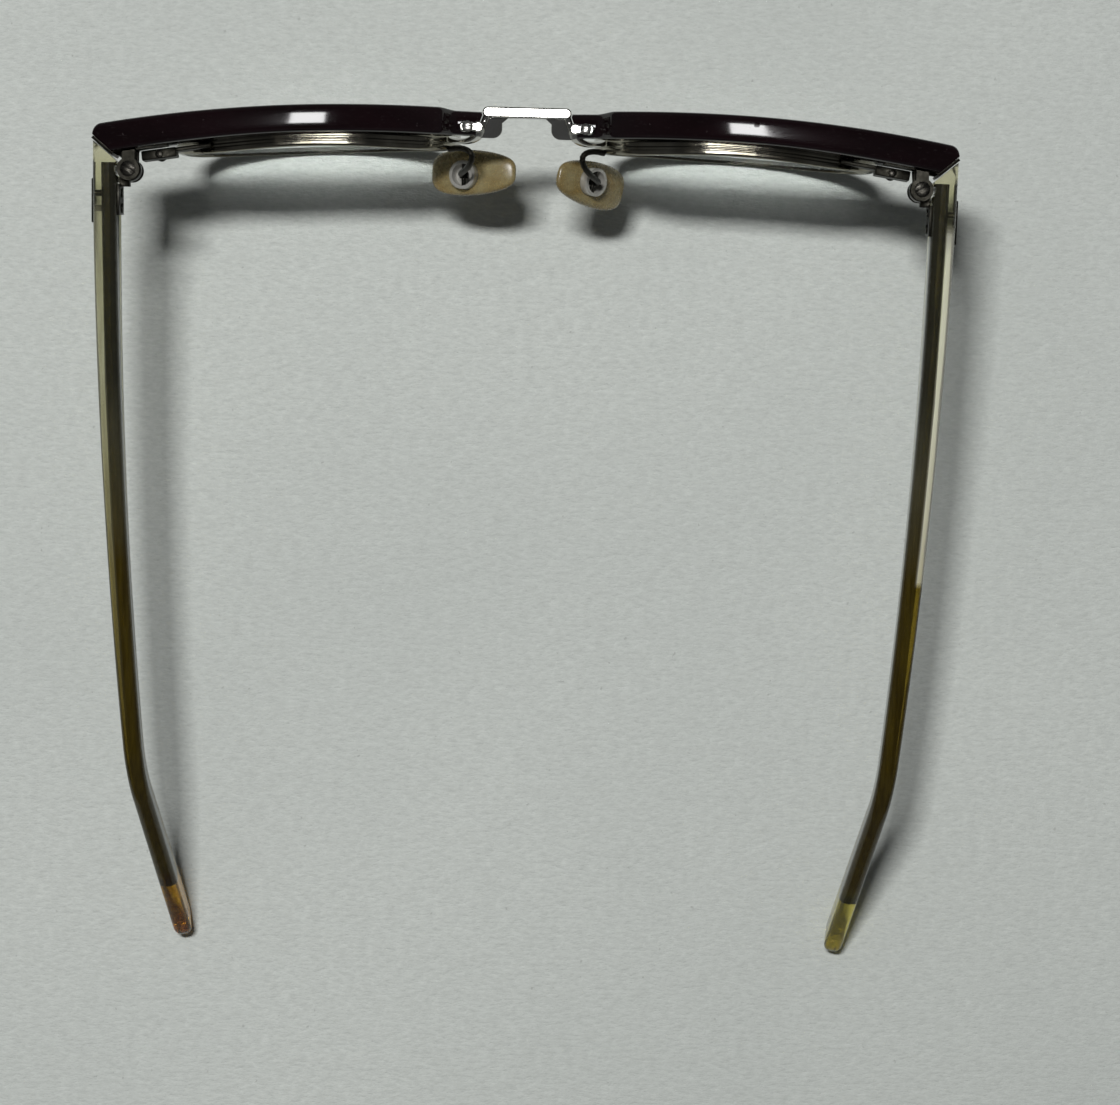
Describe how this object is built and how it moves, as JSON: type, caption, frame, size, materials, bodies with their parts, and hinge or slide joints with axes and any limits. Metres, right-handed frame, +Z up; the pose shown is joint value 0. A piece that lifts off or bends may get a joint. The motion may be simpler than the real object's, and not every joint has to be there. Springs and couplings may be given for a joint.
{
  "type": "browline eyeglasses",
  "caption": "Browline eyeglasses with acetate brows, metal eyewires and bridge, clear lenses, rocking nose pads and temples that fold shut.",
  "frame": {"origin": "middle of the open pair's footprint, on the table that its lower rims and temple tips stand on", "axes": "+X towards the wearer's left, across the face; +Y back along the open temples; +Z up"},
  "size_m": [0.1372, 0.1362, 0.0432],
  "materials": {
    "brow_acetate": "polished near-black burgundy acetate",
    "eyewire_metal": "satin rolled wire with bright worn edges",
    "lens_glass": "clear, polished",
    "screw_metal": "bright turned steel",
    "bridge_metal": "polished white metal",
    "pad_arm_metal": "dulled wire",
    "pad_cup_metal": "bright pressed cup",
    "pad_plastic": "yellowed translucent plastic",
    "hinge_metal": "dull nickel silver",
    "temple_acetate": "translucent olive amber acetate, aged",
    "core_metal": "dark wire set in the acetate"
  },
  "bodies": {
    "front": {"bridge": "bridge_metal", "brow_left": "brow_acetate", "brow_right": "brow_acetate", "brow_screws": "screw_metal", "eyewire_left": "eyewire_metal", "eyewire_right": "eyewire_metal", "hinge_front_left": "hinge_metal", "hinge_front_right": "hinge_metal", "hinge_screw_left": "screw_metal", "hinge_screw_right": "screw_metal", "lens_left": "lens_glass", "lens_right": "lens_glass", "pad_arm_left": "pad_arm_metal", "pad_arm_right": "pad_arm_metal", "rim_lock_screws": "screw_metal"},
    "temple_left": {"temple_left": "temple_acetate", "temple_core_left": "core_metal", "temple_shield_left": "hinge_metal", "hinge_temple_left": "hinge_metal", "hinge_rivets_left": "screw_metal"},
    "temple_right": {"temple_right": "temple_acetate", "temple_core_right": "core_metal", "temple_shield_right": "hinge_metal", "hinge_temple_right": "hinge_metal", "hinge_rivets_right": "screw_metal"},
    "nose_pad_left": {"nose_pad_left": "pad_plastic", "pad_cup_left": "pad_cup_metal", "pad_pin_left": "pad_arm_metal"},
    "nose_pad_right": {"nose_pad_right": "pad_plastic", "pad_cup_right": "pad_cup_metal", "pad_pin_right": "pad_arm_metal"}
  },
  "joints": [
    {"name": "temple_left_fold", "type": "hinge", "parent": "front", "child": "temple_left", "pos_m": [0.0627, -0.05638, 0.03726], "axis": [0, 0.0349, 0.9994], "range_deg": [0, 86]},
    {"name": "temple_right_fold", "type": "hinge", "parent": "front", "child": "temple_right", "pos_m": [-0.0627, -0.05638, 0.03726], "axis": [0, 0.0349, 0.9994], "range_deg": [-76, 0]},
    {"name": "nose_pad_left_rock", "type": "hinge", "parent": "front", "child": "nose_pad_left", "pos_m": [0.0102, -0.05853, 0.02143], "axis": [0, 0.9994, -0.0349], "range_deg": [-12, 12]},
    {"name": "nose_pad_right_rock", "type": "hinge", "parent": "front", "child": "nose_pad_right", "pos_m": [-0.0109, -0.05793, 0.0214], "axis": [0.1908, 0.981, -0.0343], "range_deg": [-12, 12]}
  ]
}
